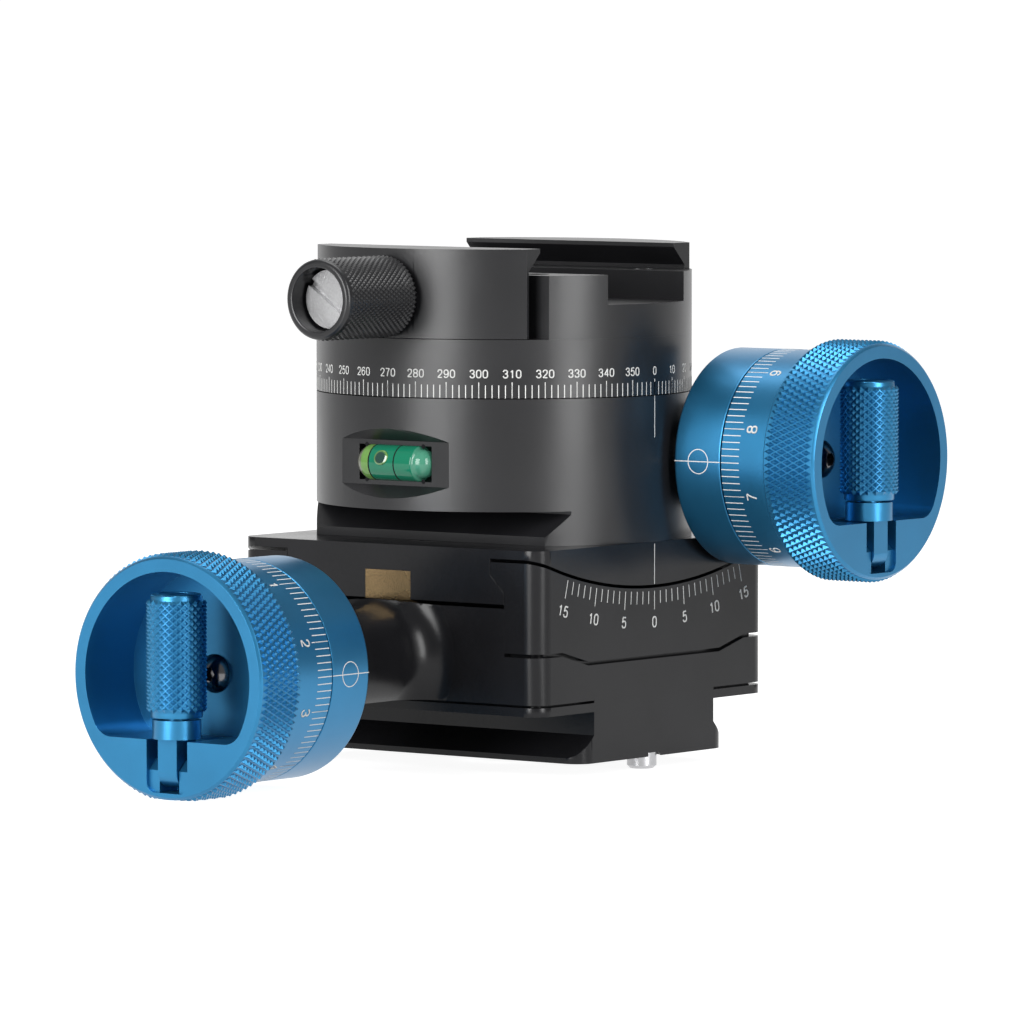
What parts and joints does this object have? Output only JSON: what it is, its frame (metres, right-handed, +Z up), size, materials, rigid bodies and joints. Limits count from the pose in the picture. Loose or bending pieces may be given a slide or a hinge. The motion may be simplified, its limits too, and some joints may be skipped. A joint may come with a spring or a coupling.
{
  "type": "geared pan tilt head",
  "caption": "Compact geared camera head: worm-driven arc tilt stage and pan stage with folding-crank knobs, dovetail foot and a quick-release plate clamp.",
  "frame": {"origin": "mouth of the tripod socket, on the pan axis at the foot's underside", "axes": "+X right, +Y back along the clamp slot, +Z up along the pan axis"},
  "size_m": [0.1259, 0.0909, 0.0828],
  "materials": {
    "black_anodised": "satin anodised",
    "blue_anodised": "blue anodised",
    "bright_steel": "turned",
    "dark_steel": "blackened",
    "brass": "machined",
    "bronze": "machined",
    "level_green": "clear"
  },
  "bodies": {
    "base": {"dovetail_plate": "black_anodised", "base_block": "black_anodised", "front_scale_plate": "black_anodised", "rear_guide_plate": "black_anodised", "guide_plate_screws": "dark_steel", "foot_screws": "dark_steel", "stop_pins": "bright_steel", "tripod_bushing": "bright_steel", "tilt_worm_bushes": "bronze", "tilt_worm_end_cap": "black_anodised", "tilt_index_ring": "blue_anodised"},
    "tilt_knob": {"tilt_worm_shaft": "bright_steel", "tilt_worm": "bright_steel", "tilt_knob": "blue_anodised", "tilt_knob_screw": "dark_steel", "tilt_crank_clevis": "blue_anodised", "tilt_crank_pin": "bright_steel"},
    "tilt_crank": {"tilt_crank_arm": "blue_anodised", "tilt_grip_screw": "blue_anodised"},
    "tilt_grip": {"tilt_grip": "blue_anodised"},
    "cradle": {"cradle": "black_anodised", "tilt_sector": "brass", "sector_screws": "dark_steel", "pan_base": "black_anodised", "pan_base_screws": "dark_steel", "level_vial": "level_green", "pan_worm_bushes": "bronze", "pan_index_ring": "blue_anodised", "pan_bearing": "bronze", "spindle_bush": "bronze"},
    "pan_knob": {"pan_worm_shaft": "bright_steel", "pan_worm": "bright_steel", "pan_knob": "blue_anodised", "pan_knob_screw": "dark_steel", "pan_crank_clevis": "blue_anodised", "pan_crank_pin": "bright_steel"},
    "pan_crank": {"pan_crank_arm": "blue_anodised", "pan_grip_screw": "blue_anodised"},
    "pan_grip": {"pan_grip": "blue_anodised"},
    "pan_top": {"pan_ring": "black_anodised", "pan_worm_wheel": "brass", "pan_spindle": "bright_steel", "clamp_body": "black_anodised", "clamp_body_screws": "dark_steel", "clamp_guide_pins": "bright_steel", "clamp_springs": "bright_steel"},
    "clamp_jaw": {"clamp_jaw": "black_anodised"},
    "clamp_knob": {"clamp_knob": "black_anodised", "clamp_screw": "bright_steel"}
  },
  "joints": [
    {"name": "tilt_knob_turn", "type": "hinge", "parent": "base", "child": "tilt_knob", "pos_m": [-0.0656, 0, 0.0164], "axis": [1, 0, 0], "range_deg": [-2700, 2700]},
    {"name": "tilt", "type": "hinge", "parent": "base", "child": "cradle", "pos_m": [0, 0, 0.1136], "axis": [0, 1, 0], "range_deg": [-15, 15]},
    {"name": "tilt_crank_fold", "type": "hinge", "parent": "tilt_knob", "child": "tilt_crank", "pos_m": [-0.0819, 0, 0.0019], "axis": [0, -1, 0], "range_deg": [0, 90]},
    {"name": "tilt_grip_spin", "type": "hinge", "parent": "tilt_crank", "child": "tilt_grip", "pos_m": [-0.0819, 0, 0.0164], "axis": [0, 0, 1], "continuous": true},
    {"name": "pan_knob_turn", "type": "hinge", "parent": "cradle", "child": "pan_knob", "pos_m": [0.021, -0.0403, 0.0467], "axis": [0, 1, 0], "continuous": true},
    {"name": "pan", "type": "hinge", "parent": "cradle", "child": "pan_top", "pos_m": [0, 0, 0.0467], "axis": [0, 0, 1], "continuous": true},
    {"name": "pan_crank_fold", "type": "hinge", "parent": "pan_knob", "child": "pan_crank", "pos_m": [0.021, -0.0566, 0.0322], "axis": [1, 0, 0], "range_deg": [0, 90]},
    {"name": "pan_grip_spin", "type": "hinge", "parent": "pan_crank", "child": "pan_grip", "pos_m": [0.021, -0.0566, 0.0467], "axis": [0, 0, 1], "continuous": true},
    {"name": "jaw_slide", "type": "slide", "parent": "pan_top", "child": "clamp_jaw", "axis": [-1, 0, 0], "range_m": [-0.0016, 0.003], "deforming": ["clamp_springs"]},
    {"name": "clamp_knob_turn", "type": "hinge", "parent": "clamp_jaw", "child": "clamp_knob", "pos_m": [-0.03, 0, 0.073], "axis": [-1, 0, 0], "range_deg": [-720, 1350]}
  ],
  "couplings": [
    {"joint": "tilt", "follows": "tilt_knob_turn", "ratio": 0.0055556},
    {"joint": "pan", "follows": "pan_knob_turn", "ratio": -0.013889},
    {"joint": "clamp_knob_turn", "follows": "jaw_slide", "rad_per_m": 7854}
  ]
}
